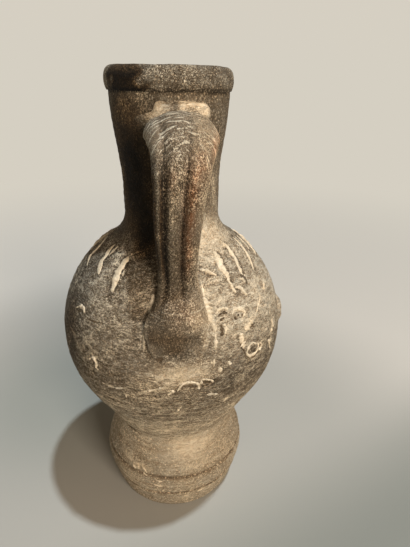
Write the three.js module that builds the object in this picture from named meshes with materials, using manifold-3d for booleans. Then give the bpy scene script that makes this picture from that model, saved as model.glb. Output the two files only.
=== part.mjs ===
// An old hand-made terracotta jug: a drum foot with two turned grooves, a globular body,
// a flared neck with a rolled rim, and one broad ribbed strap handle from under the rim to
// the shoulder. The potter throws foot, body and neck as open shells and lutes them one on
// the other, then adds the rim roll, the handle on two beds of soft clay, and one pellet.
// Millimetres, +Z up, origin at the centre of the resting face, handle towards -Y.

import * as THREE from 'three';
import { mergeVertices } from 'three/addons/utils/BufferGeometryUtils.js';
import Module from 'manifold-3d';

const wasm = await Module();
wasm.setup();

// Foot
const baseRadius = 35.5;
const baseChamfer = 1.2;
const footRadius = 41;
const footBulgeHeight = 22.5;
const footTaperPower = 1.35;
const footFloor = 9;
const footWall = 7;
const footInnerCorner = 6;
const grooveHeights = [14.5, 27.5];
const grooveWidth = 3;
const grooveFlat = 1.2;
const grooveDepth = 1;

// Waist, where the body is luted on the foot
const waistHeight = 50.5;
const waistRadius = 34;
const waistBore = 27;

// Body
const bellyRadius = 57;
const bellyHeight = 107;
const bodyWall = 6;
const bodyMouthLip = 1.5;

// Neck
const neckRadius = 22.5;
const neckNarrowHeight = 180;
const neckTopRadius = 26.3;
const neckWall = 5;
const shoulderFillet = 15;

// Rim roll
const rimSeatHeight = 220.5;
const rimHeight = 9.5;
const rimRadius = 27.9;
const rimWidth = 7.8;
const rimRoundness = 2.3;
const rimRollShare = 0.58;
const overallHeight = rimSeatHeight + rimHeight;

// Strap handle, measured in the upright plane through the jug's axis
const handleRootDrop = 17.5;
const handleRootHeight = rimSeatHeight - handleRootDrop;
const handleRise = 5;
const handleReach = 48;
const handleReachDrop = 36.5;
const handleReachHeight = rimSeatHeight - handleReachDrop;
const handleCrestCurve = 17;
const handleLandingCurve = 13;
const handleLandingAngle = 37;
const handleEndAngle = 11;
const handleLean = 2.7;
const handleLeanHeight = 167;
const rootWidth = 28.5;
const rootCrown = 9.5;
const strapWidth = 18;
const strapCrown = 5.5;
const strapBack = 4;
const strapBackFullness = 3;
const landingWidth = 16.6;
const padWidth = 24.6;
const padCrown = 5.4;
const handleSway = 1;
const ribGrooveSides = [-0.6, 0.24];
const ribGrooveDepth = 2.1;
const ribGrooveSpread = 0.15;

// Beds of soft clay under both ends of the handle
const rootBedSize = { width: 34, height: 22, proud: 3.4 };
const rootBedDrop = 14;
const rootBedHeight = rimSeatHeight - rootBedDrop;
const padBedSize = { width: 30, height: 36, proud: 2 };
const padBedAngle = 23;

// Pressed-on pellet
const pelletSize = { width: 12, height: 15, proud: 1.8 };
const pelletHeight = 116;
const pelletTurn = -13;

// A pressed-on piece keeps this clearance to the surface that it is shaped on
const seatGap = 0.3;

// How deep a pressed-on piece starts under the surface before it is cut to it
const pressedSink = 2;

// Fineness of the facets
const roundSides = 56;
const arcStep = 9;
const footSteps = 11;
const footInnerSteps = 4;
const flareSteps = 8;
const rimSteps = 13;
const strapSteps = 38;
const outerSteps = 18;
const innerSteps = 6;
const pressedSides = 24;
const pressedRings = 6;
const weldDistance = 1e-5;

const radians = THREE.MathUtils.degToRad;

// Points of a round stretch, from one angle to another
function arc(centreRadius, centreHeight, radius, fromAngle, toAngle) {
  const steps = Math.max(2, Math.ceil(Math.abs(toAngle - fromAngle) / radians(arcStep)));
  const points = [];
  for (let i = 0; i <= steps; i += 1) {
    const angle = fromAngle + ((toAngle - fromAngle) * i) / steps;
    points.push([centreRadius + radius * Math.cos(angle), centreHeight + radius * Math.sin(angle)]);
  }
  return points;
}

// Angle on a circle about the belly's centre where a line from below touches it
function touchAngle(fromRadius, fromHeight, circleRadius) {
  const drop = fromHeight - bellyHeight;
  const distance = Math.hypot(fromRadius, drop);
  return Math.atan2(drop, fromRadius) + Math.acos(circleRadius / distance);
}

// A turned solid from its outline of [radius, height] points
function turned(outline) {
  const points = outline.map(([radius, height]) => new THREE.Vector2(radius, height));
  const first = outline[0];
  const last = outline[outline.length - 1];
  const onAxis = first[0] === 0 && last[0] === 0;
  if (!onAxis) points.push(points[0].clone());
  const geometry = new THREE.LatheGeometry(points, roundSides);
  geometry.rotateX(Math.PI / 2);
  return joined(geometry);
}

// The same geometry with its shared vertices merged
function joined(geometry) {
  geometry.deleteAttribute('normal');
  geometry.deleteAttribute('uv');
  return mergeVertices(geometry, weldDistance);
}

function toSolid(geometry) {
  const mesh = new wasm.Mesh({
    numProp: 3,
    vertProperties: new Float32Array(geometry.attributes.position.array),
    triVerts: new Uint32Array(geometry.index.array),
  });
  mesh.merge();
  return new wasm.Manifold(mesh);
}

function toGeometry(solid) {
  const mesh = solid.getMesh();
  const geometry = new THREE.BufferGeometry();
  geometry.setAttribute('position', new THREE.BufferAttribute(new Float32Array(mesh.vertProperties), 3));
  geometry.setIndex(new THREE.BufferAttribute(new Uint32Array(mesh.triVerts), 1));
  return geometry;
}

// Foot outline: a bulge that tapers to the base and eases into the waist
function footOuterRadius(height) {
  if (height < footBulgeHeight) {
    const share = (footBulgeHeight - height) / footBulgeHeight;
    return footRadius - (footRadius - baseRadius) * share ** footTaperPower;
  }
  const share = (height - footBulgeHeight) / (waistHeight - footBulgeHeight);
  return waistRadius + ((footRadius - waistRadius) * (1 + Math.cos(Math.PI * share))) / 2;
}

function footOuter() {
  const heights = [];
  for (let i = 0; i <= footSteps; i += 1) {
    const height = baseChamfer + ((waistHeight - baseChamfer) * i) / footSteps;
    const inGroove = grooveHeights.some((groove) => Math.abs(height - groove) < grooveWidth);
    if (!inGroove) heights.push([height, 0]);
  }
  for (const groove of grooveHeights) {
    heights.push([groove - grooveWidth / 2, 0], [groove - grooveFlat / 2, grooveDepth]);
    heights.push([groove + grooveFlat / 2, grooveDepth], [groove + grooveWidth / 2, 0]);
  }
  heights.sort((a, b) => a[0] - b[0]);
  return heights.map(([height, cut]) => [footOuterRadius(height) - cut, height]);
}

function footInner() {
  const points = [];
  const low = footFloor + footInnerCorner;
  for (let i = 0; i <= footInnerSteps; i += 1) {
    const height = waistHeight + ((low - waistHeight) * i) / footInnerSteps;
    const share = (waistHeight - height) / (waistHeight - low);
    const ease = (1 - Math.cos(Math.PI * share)) / 2;
    points.push([waistBore + (footOuterRadius(low) - footWall - waistBore) * ease, height]);
  }
  const cornerRadius = footOuterRadius(low) - footWall - footInnerCorner;
  const corner = arc(cornerRadius, low, footInnerCorner, 0, -Math.PI / 2);
  return [...points, ...corner.slice(1)];
}

function makeFoot() {
  return turned([[0, 0], [baseRadius - baseChamfer, 0], ...footOuter(), ...footInner(), [0, footFloor]]);
}

// Shoulder fillet: it touches the belly at the seam of body and neck
const filletCentreRadius = neckRadius + shoulderFillet;
const filletRise = Math.sqrt((bellyRadius + shoulderFillet) ** 2 - filletCentreRadius ** 2);
const filletCentreHeight = bellyHeight + filletRise;
const seamAngle = Math.atan2(filletRise, filletCentreRadius);
const seamHeight = bellyHeight + bellyRadius * Math.sin(seamAngle);
const neckBore = neckRadius - neckWall;

function bodyOuter() {
  const touch = touchAngle(waistRadius, waistHeight, bellyRadius);
  return [[waistRadius, waistHeight], ...arc(0, bellyHeight, bellyRadius, touch, seamAngle)];
}

function bodyInner() {
  const innerRadius = bellyRadius - bodyWall;
  const ledge = seamHeight - bodyMouthLip;
  const boreAngle = Math.acos(neckBore / innerRadius);
  const ledgeAngle = Math.asin(Math.min(1, (ledge - bellyHeight) / innerRadius));
  const topAngle = Math.min(boreAngle, ledgeAngle);
  const touch = touchAngle(waistBore, waistHeight, innerRadius);
  const dome = arc(0, bellyHeight, innerRadius, topAngle, touch);
  const lip = [[neckBore, seamHeight]];
  if (boreAngle > ledgeAngle) lip.push([neckBore, ledge]);
  return [...lip, ...dome, [waistBore, waistHeight]];
}

function makeBody() {
  return turned([...bodyOuter(), ...bodyInner()]);
}

// Neck radius: straight up to its narrow height, then an easy flare up to the rim
function neckFlare(height) {
  if (height < neckNarrowHeight) return neckRadius;
  const share = (height - neckNarrowHeight) / (rimSeatHeight - neckNarrowHeight);
  return neckRadius + ((neckTopRadius - neckRadius) * (1 - Math.cos(Math.PI * share))) / 2;
}

function neckOuter() {
  const fillet = arc(filletCentreRadius, filletCentreHeight, shoulderFillet, Math.PI + seamAngle, Math.PI);
  const flare = [];
  for (let i = 0; i <= flareSteps; i += 1) {
    const height = neckNarrowHeight + ((rimSeatHeight - neckNarrowHeight) * i) / flareSteps;
    flare.push([neckFlare(height), height]);
  }
  return [...fillet, ...flare];
}

function makeNeck() {
  const inner = [];
  for (let i = 0; i <= flareSteps; i += 1) {
    const height = rimSeatHeight + ((neckNarrowHeight - rimSeatHeight) * i) / flareSteps;
    inner.push([neckFlare(height) - neckWall, height]);
  }
  return turned([...neckOuter(), ...inner, [neckBore, seamHeight]]);
}

// Rim roll: a rounded band with a flat underside on the neck
function makeRim() {
  const middleRadius = rimRadius - rimWidth / 2;
  const rollHalf = rimHeight * rimRollShare;
  const middleHeight = rimSeatHeight + rimHeight - rollHalf;
  const seatAngle = -Math.asin(((middleHeight - rimSeatHeight) / rollHalf) ** (rimRoundness / 2));
  const points = [];
  for (let i = 0; i <= rimSteps; i += 1) {
    const angle = seatAngle + ((Math.PI - 2 * seatAngle) * i) / rimSteps;
    const across = Math.abs(Math.cos(angle)) ** (2 / rimRoundness) * Math.sign(Math.cos(angle));
    const up = Math.abs(Math.sin(angle)) ** (2 / rimRoundness) * Math.sign(Math.sin(angle));
    const height = i === 0 || i === rimSteps ? rimSeatHeight : middleHeight + rollHalf * up;
    points.push([middleRadius + (rimWidth / 2) * across, height]);
  }
  return turned(points);
}

// The outside of the whole pot as one turned cutter, grown by a clearance
function potCutter(gap) {
  const outer = [...bodyOuter(), ...neckOuter().slice(1)];
  const grown = outer.map(([radius, height], i) => {
    const before = outer[Math.max(0, i - 1)];
    const after = outer[Math.min(outer.length - 1, i + 1)];
    const along = new THREE.Vector2(after[0] - before[0], after[1] - before[1]).normalize();
    return [radius + along.y * gap, height - along.x * gap];
  });
  const top = grown[grown.length - 1];
  return toSolid(turned([[0, waistHeight], ...grown, [top[0], overallHeight], [0, overallHeight]]));
}

// Where the handle runs: over the pad on the shoulder, up the strap, over the crest to the neck
function handlePath() {
  const landing = radians(handleLandingAngle);
  const pad = new THREE.EllipseCurve(
    0, bellyHeight, bellyRadius, bellyRadius, radians(handleEndAngle), landing, false, 0,
  );
  const start = new THREE.Vector2(
    bellyRadius * Math.cos(landing), bellyHeight + bellyRadius * Math.sin(landing),
  );
  const leave = new THREE.Vector2(-Math.sin(landing), Math.cos(landing));
  const outermost = new THREE.Vector2(handleReach, handleReachHeight);
  const rise = new THREE.CubicBezierCurve(
    start,
    start.clone().addScaledVector(leave, handleLandingCurve),
    outermost.clone().add(new THREE.Vector2(0, (start.y - handleReachHeight) / 2)),
    outermost,
  );
  const root = new THREE.Vector2(neckBore, handleRootHeight);
  const crest = new THREE.CubicBezierCurve(
    outermost,
    outermost.clone().add(new THREE.Vector2(0, handleCrestCurve)),
    new THREE.Vector2((handleReach + neckFlare(handleRootHeight)) / 2, handleRootHeight + handleRise),
    root,
  );
  const path = new THREE.CurvePath();
  path.add(pad);
  path.add(rise);
  path.add(crest);
  return path;
}

// The handle leans a little to one side, about a height between its two ends
function leanAt(height) {
  return (height - handleLeanHeight) * Math.tan(radians(handleLean));
}

// One section of the strap: crowned and ribbed on the outside, flatter on the back
function strapSection(width, crown, groove, fullness) {
  const points = [];
  const halfWidth = width / 2;
  for (let i = 0; i <= outerSteps; i += 1) {
    const side = -Math.cos((Math.PI * i) / outerSteps);
    const round = Math.sqrt(Math.max(0, 1 - Math.abs(side) ** fullness));
    const cuts = ribGrooveSides.map((place) => Math.exp(-(((side - place) / ribGrooveSpread) ** 2)));
    points.push([side * halfWidth, round * (crown - groove * Math.max(...cuts))]);
  }
  for (let i = 1; i < innerSteps; i += 1) {
    const side = Math.cos((Math.PI * i) / innerSteps);
    const round = Math.sqrt(Math.max(0, 1 - Math.abs(side) ** strapBackFullness));
    points.push([side * halfWidth, -strapBack * round]);
  }
  return points;
}

// Sections along the handle. Each row has its place (0 is the pad's end, 1 the landing, 2 where
// the handle reaches furthest, 3 the root), then width, crown, groove depth, fullness and sway
const strapStations = [
  [0, padWidth * 0.66, padCrown * 0.35, 0, 2.4, 0],
  [0.12, padWidth * 0.86, padCrown * 0.7, 0, 2.5, 0],
  [0.43, padWidth, padCrown * 0.95, 0, 2.6, 0],
  [0.71, padWidth * 0.98, padCrown, ribGrooveDepth * 0.15, 2.7, handleSway * 0.3],
  [0.97, padWidth * 0.82, padCrown, ribGrooveDepth * 0.4, 2.8, handleSway],
  [1.18, landingWidth, strapCrown, ribGrooveDepth * 0.8, 3, handleSway * 0.7],
  [1.4, landingWidth, strapCrown, ribGrooveDepth, 3, 0],
  [1.7, strapWidth, strapCrown, ribGrooveDepth, 3, handleSway * -0.6],
  [2, strapWidth * 1.08, strapCrown * 1.12, ribGrooveDepth, 2.8, handleSway * -0.5],
  [2.2, strapWidth * 1.2, strapCrown * 1.3, ribGrooveDepth * 0.9, 2.6, 0],
  [2.4, rootWidth * 0.86, rootCrown * 0.88, ribGrooveDepth * 0.65, 2.4, handleSway * 0.8],
  [2.55, rootWidth * 0.97, rootCrown * 0.97, ribGrooveDepth * 0.4, 2.2, handleSway],
  [2.7, rootWidth, rootCrown, ribGrooveDepth * 0.2, 2.1, handleSway * 0.6],
  [3, rootWidth, rootCrown, 0, 2, 0],
];

// Share of the path's whole length at a station's place
function shareAt(place, lengths) {
  const span = Math.min(2, Math.floor(place));
  const before = span === 0 ? 0 : lengths[span - 1];
  return (before + (lengths[span] - before) * (place - span)) / lengths[2];
}

function sweepStrap() {
  const path = handlePath();
  const lengths = path.getCurveLengths();
  const shares = strapStations.map(([place]) => shareAt(place, lengths));
  const sizes = strapStations.flatMap((station) => station.slice(1));
  const course = new THREE.CubicInterpolant(shares, sizes, 5, new Float32Array(5));
  const positions = [];
  for (let i = 0; i <= strapSteps; i += 1) {
    const share = i / strapSteps;
    const point = path.getPointAt(share);
    const along = path.getTangentAt(share);
    const [width, crown, groove, fullness, sway] = course.evaluate(share);
    for (const [across, out] of strapSection(width, crown, groove, fullness)) {
      const height = point.y - along.x * out;
      positions.push(across + sway + leanAt(height), -(point.x + along.y * out), height);
    }
  }
  return ringsToGeometry(positions, strapSteps + 1);
}

// A closed skin over equal rings of points, with both ends filled
function ringsToGeometry(positions, rings) {
  const sides = positions.length / 3 / rings;
  const index = [];
  for (let ring = 0; ring < rings - 1; ring += 1) {
    for (let i = 0; i < sides; i += 1) {
      const a = ring * sides + i;
      const b = ring * sides + ((i + 1) % sides);
      index.push(a, b, a + sides, b, b + sides, a + sides);
    }
  }
  const last = (rings - 1) * sides;
  for (let i = 1; i < sides - 1; i += 1) {
    index.push(0, i + 1, i);
    index.push(last, last + i, last + i + 1);
  }
  const geometry = new THREE.BufferGeometry();
  geometry.setAttribute('position', new THREE.Float32BufferAttribute(positions, 3));
  geometry.setIndex(index);
  return geometry;
}

// A point over the belly, measured along its surface from a place on the side of the jug
function overBelly(middleAngle, turn, across, up, out) {
  const rise = middleAngle + up / bellyRadius;
  const around = turn + across / (bellyRadius * Math.cos(rise));
  const radius = (bellyRadius + out) * Math.cos(rise);
  const height = bellyHeight + (bellyRadius + out) * Math.sin(rise);
  return [radius * Math.sin(around), -radius * Math.cos(around), height];
}

// A point over the neck, measured along its surface from the middle of the root's bed
function overNeck(across, up, out) {
  const height = rootBedHeight + up;
  const radius = neckFlare(height);
  const around = across / radius;
  return [(radius + out) * Math.sin(around), -(radius + out) * Math.cos(around), height];
}

// An oval dome of pressed clay that follows the surface under it, grown by a clearance
function pressedClay(place, size, gap) {
  const positions = [];
  const addRing = (share, out) => {
    for (let i = 0; i < pressedSides; i += 1) {
      const angle = (2 * Math.PI * i) / pressedSides;
      const across = share * (size.width / 2 + gap) * Math.cos(angle);
      const up = share * (size.height / 2 + gap) * Math.sin(angle);
      positions.push(...place(across, up, out));
    }
  };
  addRing(1, -pressedSink);
  for (let i = 0; i < pressedRings; i += 1) {
    const turn = (Math.PI / 2) * (i / (pressedRings - 0.5));
    addRing(Math.cos(turn), seatGap + size.proud * Math.sin(turn) + gap);
  }
  return toSolid(ringsToGeometry(positions, pressedRings + 1));
}

function rootBed(gap) {
  const shift = leanAt(rootBedHeight);
  return pressedClay((across, up, out) => overNeck(across + shift, up, out), rootBedSize, gap);
}

function padBed(gap) {
  const rise = radians(padBedAngle);
  const shift = leanAt(bellyHeight + bellyRadius * Math.sin(rise));
  const place = (across, up, out) => overBelly(rise, 0, across + shift, up, out);
  return pressedClay(place, padBedSize, gap);
}

function pellet() {
  const rise = Math.asin((pelletHeight - bellyHeight) / bellyRadius);
  const turn = Math.PI / 2 + radians(pelletTurn);
  const place = (across, up, out) => overBelly(rise, turn, across, up, out);
  return pressedClay(place, pelletSize, 0);
}

const pot = potCutter(seatGap);
const strap = toSolid(sweepStrap());
const handle = strap.subtract(pot).subtract(rootBed(seatGap)).subtract(padBed(seatGap));

const pieces = {
  foot: [makeFoot(), 0x9a8268, 0.93],
  body: [makeBody(), 0x857663, 0.92],
  neck: [makeNeck(), 0x5f554a, 0.9],
  rim: [makeRim(), 0x4f473e, 0.86],
  handle: [toGeometry(handle), 0x716454, 0.88],
  root_bed: [toGeometry(rootBed(0).subtract(pot)), 0xb3a286, 0.95],
  pad_bed: [toGeometry(padBed(0).subtract(pot)), 0x9c8a70, 0.95],
  side_pellet: [toGeometry(pellet().subtract(pot)), 0xa89a80, 0.95],
};

const jug = new THREE.Group();
for (const [name, [geometry, color, roughness]] of Object.entries(pieces)) {
  const material = new THREE.MeshStandardMaterial({ color, roughness, metalness: 0 });
  const mesh = new THREE.Mesh(geometry, material);
  mesh.name = name;
  jug.add(mesh);
}

export default jug;
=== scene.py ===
from functools import partial
from math import acos, asin, atan2, cos, degrees, exp, floor, hypot, pi, radians, sin, sqrt, tan

import bmesh
import bpy
from mathutils import Matrix, Vector, kdtree
from mathutils.noise import noise


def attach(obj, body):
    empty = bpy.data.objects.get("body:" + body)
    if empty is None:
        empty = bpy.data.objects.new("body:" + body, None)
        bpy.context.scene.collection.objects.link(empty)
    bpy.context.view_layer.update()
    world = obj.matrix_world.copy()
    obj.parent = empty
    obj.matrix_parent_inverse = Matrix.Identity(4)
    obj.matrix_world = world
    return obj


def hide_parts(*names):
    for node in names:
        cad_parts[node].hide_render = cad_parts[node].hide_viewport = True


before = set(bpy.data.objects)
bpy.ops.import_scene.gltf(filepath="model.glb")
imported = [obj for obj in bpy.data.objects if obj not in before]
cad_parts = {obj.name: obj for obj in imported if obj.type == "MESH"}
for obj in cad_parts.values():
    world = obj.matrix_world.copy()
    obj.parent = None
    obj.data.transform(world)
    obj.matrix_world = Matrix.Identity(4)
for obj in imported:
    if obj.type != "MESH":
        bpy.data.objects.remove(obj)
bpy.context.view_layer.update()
scene = bpy.context.scene
mm = 0.001
print("frame loaded")


# Small helpers

def letGo():
    bpy.ops.object.select_all(action="DESELECT")


def smooth(low, high, value):
    share = min(1, max(0, (value - low) / (high - low)))
    return share * share * (3 - 2 * share)


def near(value, middle, reach):
    return exp(-((value - middle) / reach) ** 2)


def spread(first, last, steps):
    return [first + (last - first) * i / steps for i in range(steps + 1)]


def arc(radius, height, size, fromAngle, toAngle, steps):
    angles = spread(fromAngle, toAngle, steps)
    return [(radius + size * cos(a), height + size * sin(a)) for a in angles]


def editNew(name):
    piece = bpy.context.object
    piece.name = name
    piece.data.name = name
    bpy.ops.object.transform_apply(location=True, rotation=True, scale=True)
    bpy.ops.object.mode_set(mode="EDIT")
    return piece


def closeUp(piece, sharpAngle=40):
    # merged, normals outward, smooth except over real edges
    bpy.ops.mesh.select_all(action="SELECT")
    bpy.ops.mesh.remove_doubles(threshold=1e-6)
    bpy.ops.mesh.normals_make_consistent(inside=False)
    bpy.ops.object.mode_set(mode="OBJECT")
    bpy.ops.object.shade_smooth_by_angle(angle=radians(sharpAngle))
    return piece


def inMm(vertex):
    return Vector([c / mm for c in vertex.co])


def uneven(point, layers):
    # layers of noise, each with its depth and size in mm
    return sum(depth * noise(point / size) for depth, size in layers)


# Turned on the wheel: the outline in mm is drawn point by point, then spun round
def turned(name, outline, sides):
    letGo()
    bpy.ops.mesh.primitive_plane_add(size=mm, location=(outline[0][0] * mm, 0, outline[0][1] * mm))
    piece = editNew(name)
    bpy.ops.mesh.merge(type="CENTER")
    for before, after in zip(outline, outline[1:]):
        step = ((after[0] - before[0]) * mm, 0, (after[1] - before[1]) * mm)
        bpy.ops.mesh.extrude_vertices_move(TRANSFORM_OT_translate={"value": step})
    bpy.ops.mesh.select_all(action="SELECT")
    bpy.ops.mesh.spin(steps=sides, angle=2 * pi, center=(0, 0, 0), axis=(0, 0, 1))
    return closeUp(piece)


# Camera, fitted to the jug's outline
camera = dict(place=(-0.0110, -0.1966, 0.2240), heading=8.15, tilt=-24.95, roll=1.10, lens=27.05)
cameraData = bpy.data.cameras.new("camera")
cameraData.lens = camera["lens"]
cameraData.clip_start = 0.01
eye = bpy.data.objects.new("camera", cameraData)
eye.matrix_world = (
    Matrix.Translation(camera["place"])
    @ Matrix.Rotation(-radians(camera["heading"]), 4, "Z")
    @ Matrix.Rotation(radians(90 + camera["tilt"]), 4, "X")
    @ Matrix.Rotation(radians(camera["roll"]), 4, "Z")
)
scene.collection.objects.link(eye)
scene.camera = eye
scene.view_settings.view_transform = "Standard"
print("camera placed")


# Materials

def linearColour(hexColour):
    channels = [int(hexColour[i:i + 2], 16) / 255 for i in (1, 3, 5)]
    levels = [c / 12.92 if c <= 0.04045 else ((c + 0.055) / 1.055) ** 2.4 for c in channels]
    return (*levels, 1)


def addNode(tree, kind, inputs=(), **settings):
    # inputs stand in order or under their names; each is a number, a colour, a socket,
    # or a node whose first output is meant
    node = tree.nodes.new("ShaderNode" + kind)
    for key, value in settings.items():
        setattr(node, key, value)
    for key, value in inputs.items() if isinstance(inputs, dict) else enumerate(inputs):
        if isinstance(value, bpy.types.Node):
            value = next(output for output in value.outputs if output.enabled)
        if isinstance(value, bpy.types.NodeSocket):
            tree.links.new(value, node.inputs[key])
        else:
            node.inputs[key].default_value = value
    return node


def newMaterial(name):
    material = bpy.data.materials.new(name)
    material.use_nodes = True
    material.node_tree.nodes.clear()
    return material, partial(addNode, material.node_tree)


times = dict(operation="MULTIPLY")
timesPlus = dict(operation="MULTIPLY_ADD")
minus = dict(operation="SUBTRACT")
larger = dict(operation="MAXIMUM")
smaller = dict(operation="MINIMUM")
soft = dict(interpolation_type="SMOOTHSTEP")
tinted = dict(data_type="RGBA")

# Unglazed earthenware, wheel-thrown, low-fired and long buried. The eye sees a matt, gritty skin whose
# grey, tan or rusty tint and depth of tone are painted on (the marks tone, warm and rust);
# pale dust sits on the high grains, and the darkest clay is a warm smoky brown
# the tone mark also holds some painted shade, and a mark of its own paints shade in grooves, pits, the rim's
# undercut and beside strokes
clayLook = dict(
    grey="#fff6de", tan="#ffebc8", rust="#ffb680", umber="#ffd49e",
    # how wide each pattern is, then how much of it shows
    cloudMm=16, patchMm=5, grainMm=1.1, gritMm=0.55, lineMm=1.7, fleckMm=0.9,
    curlMm=6, creaseMm=2.6, arcMm=1.25, arcTurns=2.4,
    cloudShare=2.0, patchShare=3.0, grainShare=3.0, gritShare=4.6, lineShare=1.6,
    fleckShare=1.5, creaseShare=0.45, curlShare=0.8, arcShare=1.5, arcDark=0.5, paintedShadeShare=1.9,
    stretch=1.7, lineTop=110, lineFade=25, arcCentre=(0.0015, -0.054, 0.197),
    # contrast, its softening in the pits, depth of tone and its upper limit, relief
    keen=1.15, pitShare=0.55, level=-0.4, palest=0.9, bumpMm=1.7,
)


def earthenware(name, **changes):
    look = {**clayLook, **changes}
    material, add = newMaterial(name)
    place = add("TexCoord").outputs["Object"]
    mark = {kind: add("Attribute", attribute_name=kind).outputs["Fac"]
            for kind in ("tone", "warm", "rust", "curl", "paintedShade", "arc", "calm")}
    flat = add("Mapping", {"Vector": place, "Scale": (1, 1, look["stretch"])})
    spun = add("Mapping", {"Vector": place, "Scale": (0.07, 0.07, 1)})
    found = {}
    for kind, vector, detail, roughness, warp in (
        ("cloud", place, 3, 0.6, 0), ("patch", flat, 5, 0.65, 0), ("grain", flat, 3, 0.65, 0),
        ("grit", flat, 2, 0.7, 0), ("line", spun, 3, 0.6, 0), ("fleck", flat, 2, 0.5, 0),
        ("curl", flat, 3, 0.6, 1.6), ("crease", flat, 3, 0.6, 0.9),
    ):
        inputs = {"Vector": vector, "Scale": 1 / (look[kind + "Mm"] * mm), "Detail": detail,
                  "Roughness": roughness, "Distortion": warp}
        found[kind] = add("TexNoise", inputs)
    flecks = add("MapRange", [found["fleck"], 0.57, 0.64], **soft)

    # throwing lines fade out above the belly
    height = add("SeparateXYZ", [place]).outputs["Z"]
    top, fade = look["lineTop"] * mm, look["lineFade"] * mm
    thrown = add("MapRange", [height, top, top - fade, 0.2, 1], **soft)
    lines = add("Math", [found["line"], 0.5], **minus)
    lines = add("Math", [lines, thrown], **times)

    # wrinkles of lifted skin and fine creases lie on the middle lines of a warped noise: a pale line,
    # on the creases a painted highlight, with a painted shadow on one side
    ridges, paintedShadows = {}, {}
    for kind in ("curl", "crease"):
        for edges, middle in ((ridges, 0.5), (paintedShadows, 0.46)):
            away = add("Math", [found[kind], middle], **minus)
            away = add("Math", [away], operation="ABSOLUTE")
            edges[kind] = add("MapRange", [away, 0.028, 0.008], **soft)
    for edges in (ridges, paintedShadows):
        edges["curl"] = add("Math", [edges["curl"], mark["curl"]], **times)

    # scaly arcs round the middle of the handle's top: a noise drawn out along them
    away = add("VectorMath", [place, look["arcCentre"]], **minus)
    parts = add("SeparateXYZ", [away]).outputs
    around = add("Math", [parts["X"], parts["Z"]], operation="ARCTAN2")
    around = add("Math", [around, look["arcTurns"]], **times)
    reach = add("VectorMath", [away], operation="LENGTH")
    reach = add("Math", [reach, 1 / (look["arcMm"] * mm)], **times)
    curved = add("CombineXYZ", [around, reach])
    inputs = {"Vector": curved, "Scale": 1, "Detail": 2, "Roughness": 0.6, "Distortion": 0.5}
    drawn = add("TexNoise", inputs)
    arcs = add("MapRange", [drawn, 0.53, 0.62], **soft)
    arcs = add("Math", [arcs, mark["arc"]], **times)

    # the grains multiply the tone, so that the pale ones stand out most
    shares = [(found[kind], look[kind + "Share"]) for kind in ("cloud", "patch", "grain", "grit")]
    light = look["level"] - sum(share for value, share in shares) / 2
    shares += [(lines, look["lineShare"]), (ridges["crease"], look["creaseShare"]),
               (paintedShadows["crease"], -look["creaseShare"])]
    for value, share in shares:
        light = add("Math", [value, share, light], **timesPlus)

    # dark clay shows its grains more; some stretches are worn smoother, and so are the calm places
    keen = look["keen"]
    keen = add("MapRange", [mark["tone"], 0.15, 0.6, 1.15 * keen, 0.85 * keen])
    worn = add("MapRange", [found["cloud"], 0.36, 0.62, 0.6, 1.25])
    calm = add("Math", [mark["calm"], -0.5, 1], **timesPlus)
    for factor in (worn, calm, light):
        keen = add("Math", [keen, factor], **times)
    softer = add("Math", [keen, look["pitShare"]], **times)
    light = add("Math", [keen, softer], **larger)
    # painted shadows beside the wrinkles and creases and the painted shade mark darken the light here; the
    # arcs lighten and darken it
    for value, share in (
        (ridges["curl"], look["curlShare"]), (paintedShadows["curl"], -look["curlShare"]),
        (arcs, look["arcShare"]), (mark["arc"], -look["arcDark"]), (mark["paintedShade"], -look["paintedShadeShare"]),
    ):
        light = add("Math", [value, share, light], **timesPlus)
    light = add("Math", [light], operation="EXPONENT")
    pitted = add("MapRange", [light, 1, 0.6, 0, 0.5], **soft)
    light = add("Math", [light, mark["tone"]], **times)
    dust = add("Math", [mark["tone"], 0.25], **smaller)
    dust = add("Math", [dust, look["fleckShare"]], **times)
    light = add("Math", [flecks, dust, light], **timesPlus)
    light = add("Math", [light, look["palest"]], **smaller)

    # pale dust is greyer, pits and smoky clay browner, and rust shows where no dust lies
    tan = add("Math", [found["cloud"], 1.8, -0.9], **timesPlus)
    tan = add("Math", [tan, mark["warm"]], operation="ADD", use_clamp=True)
    umber = add("MapRange", [mark["tone"], 0.18, 0.06], **soft)
    umber = add("Math", [umber, pitted], **larger)
    rust = add("MapRange", [found["patch"], 0.36, 0.54, 0.35, 1])
    clean = add("Math", [flecks, -0.7, 1], **timesPlus)
    deep = add("Math", [pitted, 0.8, 0.65], **timesPlus)
    for factor in (mark["rust"], clean, deep):
        rust = add("Math", [rust, factor], **times)
    colour = linearColour(look["grey"])
    for share, kind in ((tan, "tan"), (umber, "umber"), (rust, "rust")):
        colour = add("Mix", {0: share, 6: colour, 7: linearColour(look[kind])}, **tinted)
    shade = add("CombineColor", [light, light, light])
    colour = add("Mix", {0: 1, 6: colour, 7: shade}, blend_type="MULTIPLY", **tinted)

    height = 0
    for value, share in (
        (found["patch"], 1.0), (found["grain"], 0.35), (found["grit"], 0.08), (lines, 0.4),
        (flecks, 0.1), (ridges["curl"], 0.5), (ridges["crease"], 0.15), (arcs, 0.3),
    ):
        height = add("Math", [value, share, height], **timesPlus)
    bump = add("Bump", {"Height": height, "Strength": 1.0, "Distance": look["bumpMm"] * mm})
    inputs = {"Base Color": colour, "Roughness": 0.9, "Specular IOR Level": 0.2, "Normal": bump}
    skin = add("BsdfPrincipled", inputs)
    add("OutputMaterial", {"Surface": skin})
    return material


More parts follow.
